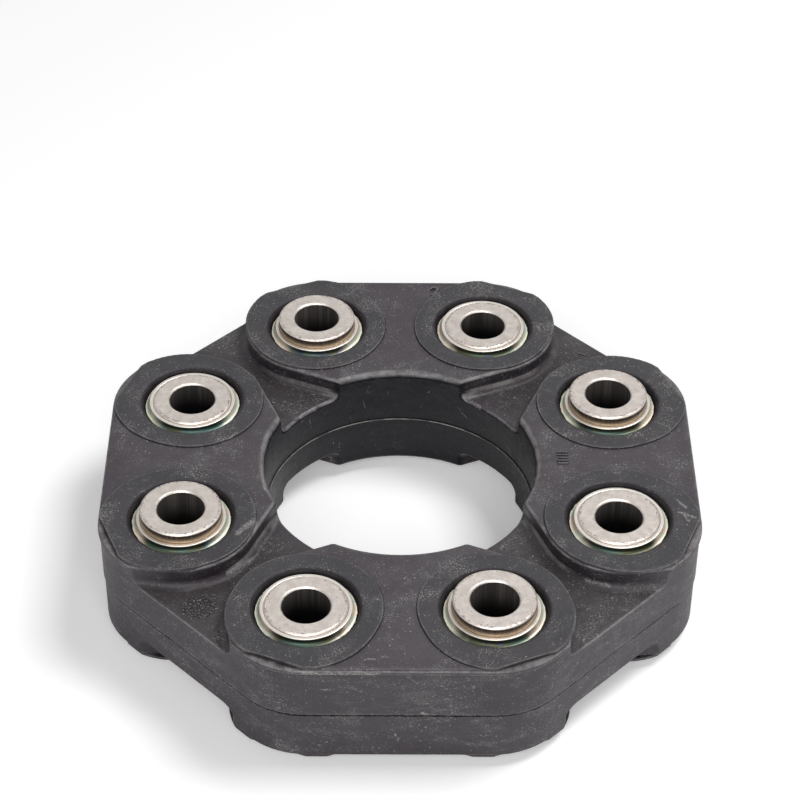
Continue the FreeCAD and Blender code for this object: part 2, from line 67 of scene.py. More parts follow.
def calc(tree, operation, first, second=0.0, third=0.0, clamp=False):
    made = add_node(tree, "ShaderNodeMath", {0: first, 1: second, 2: third},
                    operation=operation, use_clamp=clamp)
    return made.outputs[0]


def times(tree, *factors):
    product = factors[0]
    for factor in factors[1:]:
        product = calc(tree, "MULTIPLY", product, factor)
    return product


def vector_calc(tree, operation, first, second=(0.0, 0.0, 0.0), out=0):
    """Vector maths; out is 0 for the vector that comes out and 1 for the value."""
    made = add_node(tree, "ShaderNodeVectorMath", {0: first, 1: second}, operation=operation)
    return made.outputs[out]


def scaled(tree, vector, factor):
    return add_node(tree, "ShaderNodeVectorMath", {0: vector, "Scale": factor}, operation="SCALE").outputs[0]


def ramp(tree, value, low, high, start=0.0, end=1.0):
    """Smooth step of value from low to high."""
    made = add_node(tree, "ShaderNodeMapRange", {0: value, 1: low, 2: high, 3: start, 4: end},
                    interpolation_type="SMOOTHSTEP", clamp=True)
    return made.outputs[0]


def band(tree, value, middle, half, soft):
    """1 within half of middle, falling to 0 over soft."""
    away = calc(tree, "ABSOLUTE", calc(tree, "SUBTRACT", value, middle))
    return ramp(tree, away, half, half + soft, 1.0, 0.0)


def cloud(tree, vector, scale, detail=3.0, roughness=0.55):
    """Soft noise from 0 to 1; scale is its waves per millimetre."""
    made = add_node(tree, "ShaderNodeTexNoise", {
        "Vector": vector, "Scale": scale, "Detail": detail, "Roughness": roughness})
    return made.outputs["Fac"]


def patchy(tree, mask, vector, texture, steps):
    """The mask, kept in patches only; texture has the numbers of cloud and steps those of ramp."""
    return times(tree, mask, ramp(tree, cloud(tree, vector, *texture), *steps))


def tint(tree, amount, first, second):
    """First colour, mixed with the second by amount."""
    made = tree.nodes.new("ShaderNodeMix")
    made.data_type = "RGBA"
    for place, value in ((0, amount), (6, first), (7, second)):
        if isinstance(value, bpy.types.NodeSocket):
            tree.links.new(value, made.inputs[place])
        else:
            made.inputs[place].default_value = value if place == 0 else (*value, 1.0)
    return made.outputs[2]


def coat(tree, colour, layers):
    """Lay colours over a colour, each given as its mask, the share of the mask and the colour."""
    for mask, share, over in layers:
        colour = tint(tree, times(tree, mask, share), colour, over)
    return colour


def new_group(name, inputs, outputs):
    """Empty node group, the sockets that come into it and the sockets that leave it."""
    group = bpy.data.node_groups.new(name, "ShaderNodeTree")
    for label, kind, value in inputs:
        socket = group.interface.new_socket(label, in_out="INPUT", socket_type="NodeSocket" + kind)
        if kind == "Float":
            socket.default_value = value
    for label, kind in outputs:
        group.interface.new_socket(label, in_out="OUTPUT", socket_type="NodeSocket" + kind)
    entry = group.nodes.new("NodeGroupInput")
    leave = group.nodes.new("NodeGroupOutput")
    return group, entry.outputs, leave.inputs


def use_group(tree, group, sockets=()):
    return add_node(tree, "ShaderNodeGroup", sockets, node_tree=group).outputs


# Place on the coupling in millimetres, and the same place seen from the nearest bolt axis.
bolt_place, place_in, place_out = new_group(
    "bolt_place", (("Vector", "Vector", None),),
    (("Place", "Vector"), ("From Bolt", "Vector"), ("Radius", "Float"), ("Angle", "Float"),
     ("Height", "Float"), ("Reach", "Float"), ("Bolt", "Float")))
place = scaled(bolt_place, place_in["Vector"], 1000.0)
parts = add_node(bolt_place, "ShaderNodeSeparateXYZ", {0: place}).outputs
heading = calc(bolt_place, "ARCTAN2", parts["Y"], parts["X"])
sector = calc(bolt_place, "ROUND", calc(
    bolt_place, "DIVIDE", calc(bolt_place, "SUBTRACT", heading, FIRST_BOLT), BOLT_STEP))
bolt_heading = calc(bolt_place, "MULTIPLY_ADD", sector, BOLT_STEP, FIRST_BOLT)
aside = calc(bolt_place, "SUBTRACT", heading, bolt_heading)
reach = calc(bolt_place, "SQRT", calc(bolt_place, "MULTIPLY_ADD", parts["X"], parts["X"], times(
    bolt_place, parts["Y"], parts["Y"])))
outward = calc(bolt_place, "SUBTRACT", times(
    bolt_place, reach, calc(bolt_place, "COSINE", aside)), PITCH_RADIUS)
across = times(bolt_place, reach, calc(bolt_place, "SINE", aside))
from_bolt = add_node(bolt_place, "ShaderNodeCombineXYZ", {0: outward, 1: across, 2: parts["Z"]}).outputs[0]
radius = calc(bolt_place, "SQRT", calc(bolt_place, "MULTIPLY_ADD", outward, outward, times(
    bolt_place, across, across)))
for label, value in (("Place", place), ("From Bolt", from_bolt), ("Radius", radius),
                     ("Angle", calc(bolt_place, "ARCTAN2", across, outward)),
                     ("Height", parts["Z"]), ("Reach", reach), ("Bolt", sector)):
    bolt_place.links.new(value, place_out[label])

# Loose specks: round grains of random size, thinned out to a share of them.
specks, specks_in, specks_out = new_group(
    "specks", (("Vector", "Vector", None), ("Per Millimetre", "Float", 1.0), ("Size", "Float", 0.2),
               ("Share", "Float", 0.5)), (("Mask", "Float"),))
grains = add_node(specks, "ShaderNodeTexVoronoi", {
    "Vector": specks_in["Vector"], "Scale": specks_in["Per Millimetre"]}).outputs
chance = add_node(specks, "ShaderNodeSeparateColor", {0: grains["Color"]}).outputs
grain_size = times(specks, specks_in["Size"], calc(specks, "MULTIPLY_ADD", chance[0], 0.8, 0.3))
grain = ramp(specks, calc(specks, "DIVIDE", grains["Distance"], grain_size), 0.5, 1.0, 1.0, 0.0)
kept = calc(specks, "LESS_THAN", chance[1], specks_in["Share"])
specks.links.new(times(specks, grain, kept), specks_out["Mask"])

# Scuffs at random: short straight strokes in every direction along the surface.
scuffs, scuffs_in, scuffs_out = new_group(
    "scuffs", (("Vector", "Vector", None), ("Normal", "Vector", None), ("Per Millimetre", "Float", 0.2),
               ("Length", "Float", 0.3), ("Width", "Float", 0.03), ("Share", "Float", 0.5)),
    (("Mask", "Float"),))
waver = add_node(scuffs, "ShaderNodeTexNoise", {"Vector": scuffs_in["Vector"], "Scale": 0.9, "Detail": 1.0})
bent = vector_calc(scuffs, "ADD", scuffs_in["Vector"], scaled(
    scuffs, vector_calc(scuffs, "SUBTRACT", waver.outputs["Color"], (0.5, 0.5, 0.5)), 0.7))
strokes = add_node(scuffs, "ShaderNodeTexVoronoi", {
    "Vector": bent, "Scale": scuffs_in["Per Millimetre"]}).outputs
inside = vector_calc(scuffs, "SUBTRACT", bent, strokes["Position"])
inside = scaled(scuffs, inside, scuffs_in["Per Millimetre"])
lie = vector_calc(scuffs, "SUBTRACT", strokes["Color"], (0.5, 0.5, 0.5))
lie = vector_calc(scuffs, "NORMALIZE", vector_calc(scuffs, "CROSS_PRODUCT", lie, scuffs_in["Normal"]))
along = vector_calc(scuffs, "DOT_PRODUCT", inside, lie, out=1)
flat = vector_calc(scuffs, "CROSS_PRODUCT", inside, lie)
off = calc(scuffs, "ABSOLUTE", vector_calc(scuffs, "DOT_PRODUCT", flat, scuffs_in["Normal"], out=1))
stroke_chance = add_node(scuffs, "ShaderNodeSeparateColor", {0: strokes["Color"]}).outputs
half_length = times(scuffs, scuffs_in["Length"], calc(scuffs, "MULTIPLY_ADD", stroke_chance[2], 0.8, 0.3))
stroke = times(
    scuffs, ramp(scuffs, calc(scuffs, "DIVIDE", off, scuffs_in["Width"]), 0.3, 1.0, 1.0, 0.0),
    ramp(scuffs, calc(scuffs, "DIVIDE", calc(scuffs, "ABSOLUTE", along), half_length), 0.6, 1.0, 1.0, 0.0),
    calc(scuffs, "LESS_THAN", stroke_chance[1], scuffs_in["Share"]))
scuffs.links.new(stroke, scuffs_out["Mask"])

# Scratch: a mask of the places within a width of the straight line from start to end.
scratch, scratch_in, scratch_out = new_group(
    "scratch", (("Vector", "Vector", None), ("Start", "Vector", None), ("End", "Vector", None),
                ("Width", "Float", 0.3)), (("Mask", "Float"),))
gone = vector_calc(scratch, "SUBTRACT", scratch_in["Vector"], scratch_in["Start"])
whole = vector_calc(scratch, "SUBTRACT", scratch_in["End"], scratch_in["Start"])
share = calc(scratch, "DIVIDE", vector_calc(scratch, "DOT_PRODUCT", gone, whole, out=1),
             vector_calc(scratch, "DOT_PRODUCT", whole, whole, out=1), clamp=True)
off_line = vector_calc(scratch, "DISTANCE", gone, scaled(scratch, whole, share), out=1)
scratch.links.new(ramp(scratch, calc(scratch, "DIVIDE", off_line, scratch_in["Width"]), 0.25, 1.0, 1.0, 0.0),
                  scratch_out["Mask"])


def new_material(name):
    material = bpy.data.materials.new(name)
    material.use_nodes = True
    tree = material.node_tree
    tree.nodes.clear()
    output = tree.nodes.new("ShaderNodeOutputMaterial")
    shader = tree.nodes.new("ShaderNodeBsdfPrincipled")
    tree.links.new(shader.outputs[0], output.inputs[0])
    coords = tree.nodes.new("ShaderNodeTexCoord")
    return material, tree, shader, coords


moulded_rubber, tree, shader, coords = new_material("moulded_rubber")
spot = use_group(tree, bolt_place, {"Vector": coords.outputs["Object"]})
place, height, radius, reach = spot["Place"], spot["Height"], spot["Radius"], spot["Reach"]
level = calc(tree, "ABSOLUTE", height)
facing = add_node(tree, "ShaderNodeSeparateXYZ", {0: coords.outputs["Normal"]}).outputs["Z"]
flatness = calc(tree, "ABSOLUTE", facing)

# Masks of the moulding's own places.
lying = ramp(tree, flatness, 0.75, 0.97)
upright = calc(tree, "SUBTRACT", 1.0, lying)
# The hole's wall, which is painted near black with a blue cast as shade.
hole_wall_shade = times(tree, upright, ramp(tree, reach, HOLE_RADIUS + 0.3, HOLE_RADIUS + 2.2, 1.0, 0.0))
outer_wall = times(tree, upright, ramp(tree, level, PAD_TOP - 2.2, PAD_TOP - 1.2, 1.0, 0.0),
                   ramp(tree, reach, 66.0, 70.0))
# Inside of each pocket round a sleeve, which is painted near black as shade.
pocket_shade = times(tree, ramp(tree, radius, 12.9, 14.5, 1.0, 0.0),
               ramp(tree, level, LAND_TOP + 0.03, LAND_TOP - 0.1))
land = times(tree, ramp(tree, level, PAD_TOP + 0.2, PAD_TOP + 0.35), ramp(tree, radius, 13.8, 14.3))
low_down = ramp(tree, level, VALLEY_FLOOR + 0.5, VALLEY_FLOOR + 3.0, 1.0, 0.0)
valley_floor = times(tree, low_down, lying, ramp(tree, reach, 36.0, 39.0))
# Steep sides of the pads, painted dark as shade.
pad_side_shade = times(tree, band(tree, level, PAD_TOP - 2.4, 1.1, 0.9),
                 ramp(tree, flatness, 0.25, 0.93, 1.0, 0.0), ramp(tree, reach, 70.0, 74.0, 1.0, 0.0))
# Ridge at the foot of the pads, raised in the bump and given a painted highlight.
foot_ridge = times(tree, band(tree, level, VALLEY_FLOOR + 1.2, 0.2, 0.9), band(tree, reach, 47.0, 7.0, 5.0))
# The rims where valley floors meet the outer wall carry painted highlights as well as rubbing.
valley_rim = times(tree, band(tree, level, VALLEY_FLOOR - 0.35, 0.2, 0.4),
                   band(tree, flatness, 0.72, 0.12, 0.2), ramp(tree, reach, 66.0, 70.0))
# Pad rims and the front lip carry painted highlights.
pad_rim = times(tree, band(tree, level, PAD_TOP - 0.4, 0.22, 0.3),
                band(tree, flatness, 0.7, 0.15, 0.2), ramp(tree, reach, 74.0, 72.0))
lip = times(tree, band(tree, level, PAD_TOP - 0.57, 0.15, 0.2), ramp(tree, reach, 74.0, 75.5))
# The rounded rim of the hole carries a painted highlight.
hole_edge = times(tree, band(tree, flatness, 0.62, 0.14, 0.2), ramp(tree, reach, 38.0, 40.0, 1.0, 0.0))
hole_flash = times(tree, band(tree, height, SEAM_HEIGHT - 0.1, 0.15, 0.15),
                   ramp(tree, reach, HOLE_RADIUS - 0.15, HOLE_RADIUS, 1.0, 0.0))

# Edges are rubbed pale where the rounded normal leaves the true one, and creases get painted shade from an
# ambient-occlusion mask.
soft_normal = add_node(tree, "ShaderNodeBevel", {"Radius": 0.0009}, samples=4).outputs[0]
true_normal = tree.nodes.new("ShaderNodeNewGeometry").outputs["Normal"]
edge = ramp(tree, vector_calc(tree, "DOT_PRODUCT", soft_normal, true_normal, out=1), 0.86, 0.99, 1.0, 0.0)
open_to_air = add_node(tree, "ShaderNodeAmbientOcclusion", {"Distance": 0.0016}, samples=5).outputs["AO"]
crease_shade = ramp(tree, open_to_air, 0.45, 0.88, 1.0, 0.0)
wide_open = add_node(tree, "ShaderNodeAmbientOcclusion", {"Distance": 0.012}, samples=4).outputs["AO"]
edge = times(tree, edge, ramp(tree, open_to_air, 0.8, 0.97))

# Dust: a thin film, clusters of fine pale grains and coarser crumbs, with less of it in the hole.
# Grit lies in it like salt, most on the far side, and the outer wall has streaks.
in_hole = ramp(tree, reach, HOLE_RADIUS + 0.7, HOLE_RADIUS + 2.2, 1.0, 0.0)
cleaner = calc(tree, "MULTIPLY_ADD", in_hole, -0.85, 1.0)
smeared = vector_calc(tree, "MULTIPLY", place, (0.55, 0.55, 1.5))
patches = ramp(tree, cloud(tree, place, 0.055, 4.0, 0.62), 0.42, 0.62)
clusters = ramp(tree, cloud(tree, smeared, 0.22, 4.0, 0.66), 0.46, 0.64)
fine_grain = ramp(tree, cloud(tree, smeared, 4.2, 3.0, 0.7), 0.5, 0.66)
mist = calc(tree, "MULTIPLY_ADD", cloud(tree, smeared, 0.9, 5.0, 0.75), 1.5, -0.35, clamp=True)
film = times(tree, calc(tree, "MULTIPLY_ADD", patches, 0.55, 0.1), mist, cleaner)
dust = times(tree, fine_grain, cleaner, clusters, calc(tree, "MULTIPLY_ADD", patches, 0.7, 0.3))
crumbs = use_group(tree, specks, {"Vector": place, "Per Millimetre": 1.5, "Size": 0.34, "Share": 0.5})["Mask"]
crumbs = times(tree, crumbs, cleaner, calc(tree, "MULTIPLY_ADD", clusters, 0.8, 0.2))
dots = use_group(tree, specks, {"Vector": place, "Per Millimetre": 0.8, "Size": 0.2, "Share": 0.55})["Mask"]
dots = times(tree, dots, cleaner, calc(tree, "MULTIPLY_ADD", patches, 0.6, 0.4))
salt = use_group(tree, specks, {"Vector": place, "Per Millimetre": 1.9, "Size": 0.28, "Share": 0.5})["Mask"]
salt = patchy(tree, times(tree, salt, cleaner), place, (0.12, 5.0, 0.7), (0.42, 0.62, 0.22, 1.0))
far_side = vector_calc(tree, "DOT_PRODUCT", place, (0.2, 1.0, 0.0), out=1)
salt = times(tree, salt, ramp(tree, far_side, 0.0, 55.0, 0.7, 1.0))
streaks = cloud(tree, vector_calc(tree, "MULTIPLY", place, (0.7, 0.7, 2.8)), 1.0, 4.0, 0.75)
streaks = times(tree, ramp(tree, streaks, 0.56, 0.66), outer_wall)
streaks = patchy(tree, streaks, place, (0.1, 5.0, 0.7), (0.5, 0.62))

# Marks of handling: short strokes and a few long ones, both broken up.
short_marks = use_group(tree, scuffs, {
    "Vector": place, "Normal": coords.outputs["Normal"], "Per Millimetre": 0.28, "Length": 0.26,
    "Width": 0.045, "Share": 0.4})["Mask"]
long_marks = use_group(tree, scuffs, {
    "Vector": place, "Normal": coords.outputs["Normal"], "Per Millimetre": 0.075, "Length": 0.3,
    "Width": 0.014, "Share": 0.16})["Mask"]
marks = times(tree, short_marks, calc(tree, "MULTIPLY_ADD", clusters, 0.9, 0.05))
marks = calc(tree, "MAXIMUM", marks, times(tree, long_marks, 0.55))
marks = patchy(tree, marks, place, (1.5, 3.0, 0.7), (0.46, 0.6))

# The seam of the two mould halves is painted as a ragged black line of shade that closes in places.
ragged = calc(tree, "MULTIPLY_ADD", cloud(tree, place, 1.1, 4.0, 0.75), 1.1, SEAM_HEIGHT - 0.65)
seam_shade = band(tree, calc(tree, "SUBTRACT", height, ragged), 0.0, 0.27, 0.2)
seam_shade = patchy(tree, seam_shade, place, (0.13, 5.0, 0.75), (0.34, 0.46, 0.55, 1.0))
seam_shade = times(tree, seam_shade, outer_wall)
seam_rub = times(tree, outer_wall, band(tree, height, SEAM_HEIGHT + 0.55, 0.1, 0.5))

# Rough round spot, knobbly and stained, in one upper valley.
ROUGH_SPOT = (-49.7, -49.7, 0.0)
spot_away = vector_calc(tree, "DISTANCE", vector_calc(tree, "MULTIPLY", place, (1.0, 1.0, 0.0)),
                        ROUGH_SPOT, out=1)
rough_spot = times(tree, ramp(tree, spot_away, 3.6, 4.9, 1.0, 0.0), ramp(tree, height, 8.0, 9.0))

# Scuffs that the coupling has in its own places, and painted highlights along the pads' feet at heights of
# about 9 to 11: start, end and width of each, in millimetres.
PLACED_SCUFFS_AND_HIGHLIGHTS = (
    ((70.7, -16.2, 15.9), (72.8, -19.2, 15.9), 0.5), ((70.9, -20.8, 15.9), (74.9, -22.9, 15.6), 0.55),
    ((71.8, -21.5, 15.9), (73.1, -24.2, 15.9), 0.45), ((68.3, -39.1, 15.0), (71.7, -37.3, 15.0), 0.6),
    ((1.7, -76.4, 13.0), (4.4, -76.4, 10.5), 0.35), ((-11.7, -76.4, 9.3), (-9.1, -76.4, 7.5), 0.4),
    ((-1.1, -75.9, -7.4), (-0.4, -75.9, -9.3), 0.35), ((5.6, -76.3, 0.5), (8.2, -76.3, -1.8), 0.7),
    ((-19.6, -76.4, 8.3), (-15.8, -76.4, 8.6), 0.45), ((-8.5, -72.8, 15.4), (-6.0, -72.8, 15.4), 0.3),
    ((-4.4, -71.9, 15.4), (-2.9, -72.0, 15.4), 0.3), ((-20.5, -76.5, 14.3), (-5.0, -76.5, 14.3), 0.4),
    ((-27.0, -75.6, 14.8), (-20.7, -76.4, 14.5), 0.9), ((-40.8, -29.3, 15.4), (-37.0, -24.5, 15.4), 1.3),
    ((-35.7, -4.7, 15.2), (-34.6, -12.3, 15.2), 0.6), ((46.6, -40.4, 10.75), (52.0, -42.2, 10.75), 0.8),
    ((-43.0, -38.4, 10.7), (-36.8, -32.2, 10.4), 0.9), ((-36.8, -32.2, 10.4), (-33.0, -26.5, 10.4), 0.7),
    ((-28.7, 22.5, 9.2), (-23.0, 27.5, 9.2), 0.7), ((18.5, 31.5, 9.4), (21.7, 28.2, 9.2), 0.7),
    ((61.0, -66.0, 10.6), (62.2, -65.0, 8.4), 0.6), ((-45.1, 6.6, 15.9), (-43.1, 9.8, 15.9), 0.35))
wavy = add_node(tree, "ShaderNodeTexNoise", {"Vector": place, "Scale": 1.1, "Detail": 2.0}).outputs["Color"]
wavy = vector_calc(tree, "ADD", place, vector_calc(tree, "SUBTRACT", wavy, (0.5, 0.5, 0.5)))
scuffed_and_highlit = 0.0
for start, end, width in PLACED_SCUFFS_AND_HIGHLIGHTS:
    mask = use_group(tree, scratch, {"Vector": wavy, "Start": start, "End": end, "Width": width})["Mask"]
    scuffed_and_highlit = calc(tree, "MAXIMUM", scuffed_and_highlit, mask)
scuffed_and_highlit = patchy(tree, scuffed_and_highlit, place, (2.4, 4.0, 0.8), (0.4, 0.62, 0.1, 1.0))

# Rubbed edges with painted highlights on the pad rims and front lip, rims and ridges that are rubbed and
# carry painted highlights, the painted highlight on the hole's rim, the flash that closes the seam in the
# hole, and the rough spot's dirt.
rub_and_highlight = calc(tree, "MAXIMUM", edge, calc(tree, "MAXIMUM", lip, pad_rim))
rub_and_highlight = patchy(tree, rub_and_highlight, smeared, (0.5, 5.0, 0.72), (0.34, 0.64, 0.15, 1.0))
rim_rub_and_highlight = patchy(tree, valley_rim, place, (0.05, 6.0, 0.68), (0.42, 0.6, 0.15, 1.0))
ridge_rub_and_highlight = patchy(tree, foot_ridge, place, (0.16, 6.0, 0.72), (0.36, 0.66, 0.25, 1.0))
hole_rim_highlight = patchy(tree, hole_edge, place, (0.25, 4.0, 0.7), (0.35, 0.65, 0.2, 0.8))
torn_flash = patchy(tree, hole_flash, place, (0.1, 5.0, 0.7), (0.42, 0.58, 0.2, 1.0))
spot_stain = patchy(tree, rough_spot, place, (1.3, 3.0, 0.7), (0.5, 0.62, 0.75, 0.0))
spot_dust = patchy(tree, rough_spot, place, (1.5, 4.0, 0.75), (0.56, 0.66, 0.0, 0.6))
dark_floor = times(tree, valley_floor, calc(tree, "MULTIPLY_ADD", clusters, 0.4, 0.6))

# Colours of the rubber, from the clean skin through dust, wear and painted highlights to the painted shade of
# gaps.
base = tint(tree, ramp(tree, cloud(tree, place, 0.045, 4.0), 0.3, 0.7),
            (0.033, 0.0255, 0.035), (0.044, 0.0365, 0.045))
base = coat(tree, base, (
    (cloud(tree, place, 0.7, 4.0, 0.7), 0.4, (0.058, 0.052, 0.057)),
    (land, 0.8, (0.026, 0.0255, 0.028)),
    (dark_floor, 1.0, (0.026, 0.022, 0.022)),
    # painted shade on the steep sides of the pads
    (pad_side_shade, 0.75, (0.018, 0.014, 0.018)),
    # painted shade on the hole's wall, near black with a blue cast
    (hole_wall_shade, 0.9, (0.006, 0.0055, 0.0085)),
    (film, 0.5, (0.128, 0.119, 0.121)),
    (dust, 0.85, (0.36, 0.345, 0.345)),
    (crumbs, 0.6, (0.30, 0.285, 0.285)),
    (dots, 0.7, (0.43, 0.41, 0.40)),
    (salt, 0.85, (0.50, 0.485, 0.48)),
    (streaks, 0.75, (0.34, 0.32, 0.31)),
    (marks, 0.85, (0.40, 0.37, 0.35)),
    # scuffs, and painted highlights along the pads' feet
    (scuffed_and_highlit, 0.8, (0.42, 0.40, 0.39)),
    # rubbed wear at the edges, with painted highlights on the pad rims and the front lip
    (rub_and_highlight, 0.7, (0.28, 0.265, 0.265)),
    # rubbed wear and painted highlights on the valley rims
    (rim_rub_and_highlight, 0.55, (0.26, 0.25, 0.25)),
    # dust and painted highlights on the ridges at the pads' feet
    (ridge_rub_and_highlight, 0.7, (0.27, 0.25, 0.245)),
    # painted highlight on the hole's rim
    (hole_rim_highlight, 1.0, (0.23, 0.22, 0.225)),
    (torn_flash, 1.0, (0.42, 0.39, 0.37)),
    (times(tree, seam_rub, film), 0.7, (0.20, 0.18, 0.175)),
    (spot_stain, 1.0, (0.022, 0.020, 0.022)),
    (spot_dust, 1.0, (0.26, 0.245, 0.235)),
    # painted shade in creases
    (crease_shade, 0.55, (0.008, 0.007, 0.008)),
    # painted shade along the seam
    (seam_shade, 1.0, (0.006, 0.005, 0.006)),
    # painted shade inside the pockets
    (pocket_shade, 0.9, (0.007, 0.006, 0.007))))
tree.links.new(base, shader.inputs["Base Color"])

# Dust is duller than the skin, the hole and the walls are shinier, and the shine is cut as painted shade in
# pockets, creases and seam, where a wide ambient-occlusion mask closes, and on the hole's wall.
rough = calc(tree, "MULTIPLY_ADD", cloud(tree, place, 0.35, 4.0, 0.65), 0.24, 0.42)
rough = calc(tree, "MULTIPLY_ADD", calc(tree, "MAXIMUM", dust, film), 0.25, rough)
rough = calc(tree, "MULTIPLY_ADD", ramp(tree, reach, 37.0, 42.0, 1.0, 0.0), -0.14, rough)
rough = calc(tree, "MULTIPLY_ADD", ramp(tree, level, PAD_TOP - 1.9, PAD_TOP - 0.4, 1.0, 0.0), -0.1, rough)
tree.links.new(rough, shader.inputs["Roughness"])
# painted shade in the shine of pockets, creases and seam, under the wide occlusion mask, and on the hole's
# wall
shaded_gaps = calc(tree, "MAXIMUM", calc(tree, "MAXIMUM", pocket_shade, crease_shade), seam_shade)
sheen = calc(tree, "MULTIPLY_ADD", shaded_gaps, -0.42, 0.46)
sheen = times(tree, sheen, ramp(tree, wide_open, 0.35, 0.9, 0.25, 1.0))
sheen = times(tree, sheen, calc(tree, "MULTIPLY_ADD", hole_wall_shade, -0.35, 1.0))
tree.links.new(sheen, shader.inputs["Specular IOR Level"])

# The mould was lightly blasted, and the skin has soft dents and small pits.
skin = cloud(tree, place, 2.8, 5.0, 0.75)
dents = cloud(tree, place, 0.2, 3.0, 0.55)
pitted = ramp(tree, cloud(tree, place, 1.1, 3.0, 0.7), 0.32, 0.42)
bumps = calc(tree, "MULTIPLY_ADD", dents, 0.5, times(tree, skin, 0.07))
bumps = calc(tree, "MULTIPLY_ADD", pitted, 0.03, bumps)
bumps = calc(tree, "MULTIPLY_ADD", calc(tree, "MAXIMUM", crumbs, dots), 0.03, bumps)
bumps = calc(tree, "MULTIPLY_ADD", seam_shade, -0.15, bumps)
bumps = calc(tree, "MULTIPLY_ADD", foot_ridge, 0.8, bumps)
relief = add_node(tree, "ShaderNodeBump", {"Strength": 0.7, "Distance": 0.001, "Height": bumps}).outputs[0]
tree.links.new(relief, shader.inputs["Normal"])


def dress(name, material):
    """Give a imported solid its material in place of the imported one."""
    solid = nodes[name]
    solid.data.materials.clear()
    solid.data.materials.append(material)


dress("rubber_body", moulded_rubber)


# Sleeves: cut from drawn steel tube, both ends faced and broken, then tumbled to a satin grey.
# The bore keeps the marks of drawing and is painted near black deeper down as shade. The outside is brown
# where it stands clear.
satin_sleeve, tree, shader, coords = new_material("satin_sleeve")
spot = use_group(tree, bolt_place, {"Vector": coords.outputs["Object"]})
place, height, radius, angle = spot["Place"], spot["Height"], spot["Radius"], spot["Angle"]
level = calc(tree, "ABSOLUTE", height)
facing = add_node(tree, "ShaderNodeSeparateXYZ", {0: coords.outputs["Normal"]}).outputs["Z"]
upright = ramp(tree, calc(tree, "ABSOLUTE", facing), 0.3, 0.6, 1.0, 0.0)
bore_wall = times(tree, upright, ramp(tree, radius, BORE_RADIUS + 0.25, BORE_RADIUS + 0.55, 1.0, 0.0))
outside_wall = times(tree, upright, ramp(tree, radius, SLEEVE_RADIUS - 0.4, SLEEVE_RADIUS - 0.2))
round_place = add_node(tree, "ShaderNodeCombineXYZ", {
    0: times(tree, calc(tree, "COSINE", angle), radius),
    1: times(tree, calc(tree, "SINE", angle), radius), 2: spot["Bolt"]}).outputs[0]
drawn = cloud(tree, round_place, 0.55, 5.0, 0.75)
fine_drawn = cloud(tree, round_place, 3.0, 3.0, 0.7)
mottle = cloud(tree, place, 0.5, 5.0, 0.7)
fine_mottle = cloud(tree, place, 3.2, 4.0, 0.75)
pits = use_group(tree, specks, {"Vector": place, "Per Millimetre": 1.1, "Size": 0.24, "Share": 0.28})["Mask"]
stains = ramp(tree, cloud(tree, place, 0.3, 5.0, 0.75), 0.56, 0.72)
rim_dirt = band(tree, radius, SLEEVE_RADIUS - 0.55, 0.12, 0.35)
rim_dirt = patchy(tree, rim_dirt, place, (0.9, 5.0, 0.8), (0.47, 0.6))
steel = tint(tree, ramp(tree, mottle, 0.35, 0.7), (0.65, 0.59, 0.545), (0.77, 0.71, 0.66))
steel = coat(tree, steel, (
    (ramp(tree, fine_mottle, 0.5, 0.72), 0.35, (0.44, 0.385, 0.34)),
    (stains, 0.35, (0.42, 0.34, 0.27)),
    (pits, 0.7, (0.16, 0.12, 0.10)),
    (rim_dirt, 0.65, (0.13, 0.09, 0.07))))
# The outside is brown, golden near the rubber and darker higher up.
brown = tint(tree, ramp(tree, level, COLLAR_RIM + 0.3, COLLAR_RIM + 1.9),
             (0.50, 0.38, 0.26), (0.10, 0.07, 0.055))
brown = coat(tree, brown, (
    (ramp(tree, fine_drawn, 0.5, 0.7), 0.25, (0.75, 0.62, 0.47)),
    (ramp(tree, fine_mottle, 0.5, 0.66), 0.6, (0.13, 0.09, 0.07))))
steel = tint(tree, outside_wall, steel, brown)
bore_steel_and_shade = tint(tree, ramp(tree, drawn, 0.42, 0.66), (0.075, 0.066, 0.062), (0.16, 0.143, 0.132))
bore_steel_and_shade = tint(tree, ramp(tree, fine_drawn, 0.62, 0.74, 0.0, 0.45), bore_steel_and_shade, (0.34, 0.30, 0.27))
# painted shade: the bore turns near black deeper down
bore_steel_and_shade = tint(tree, ramp(tree, level, 7.5, 18.0), (0.006, 0.005, 0.005), bore_steel_and_shade)
steel = tint(tree, bore_wall, steel, bore_steel_and_shade)
tree.links.new(steel, shader.inputs["Base Color"])
dull = calc(tree, "MULTIPLY_ADD", outside_wall, -0.35, 1.0)
tree.links.new(calc(tree, "MULTIPLY_ADD", bore_wall, -0.45, dull), shader.inputs["Metallic"])
rough = calc(tree, "MULTIPLY_ADD", mottle, 0.16, 0.30)
rough = calc(tree, "MULTIPLY_ADD", bore_wall, 0.2, rough)
tree.links.new(rough, shader.inputs["Roughness"])
grain = calc(tree, "MULTIPLY_ADD", fine_mottle, 0.02, times(tree, pits, -0.03))
grain = calc(tree, "MULTIPLY_ADD", rim_dirt, -0.03, grain)
drawn_walls = calc(tree, "MAXIMUM", bore_wall, outside_wall)
grain = calc(tree, "ADD", grain, times(tree, drawn_walls, times(tree, fine_drawn, 0.02)))
soft_normal = add_node(tree, "ShaderNodeBevel", {"Radius": 0.00045}, samples=4).outputs[0]
relief = add_node(tree, "ShaderNodeBump", {
    "Strength": 0.7, "Distance": 0.001, "Height": grain, "Normal": soft_normal}).outputs[0]
tree.links.new(relief, shader.inputs["Normal"])
for number in range(1, 9):
    dress("sleeve_%d" % number, satin_sleeve)


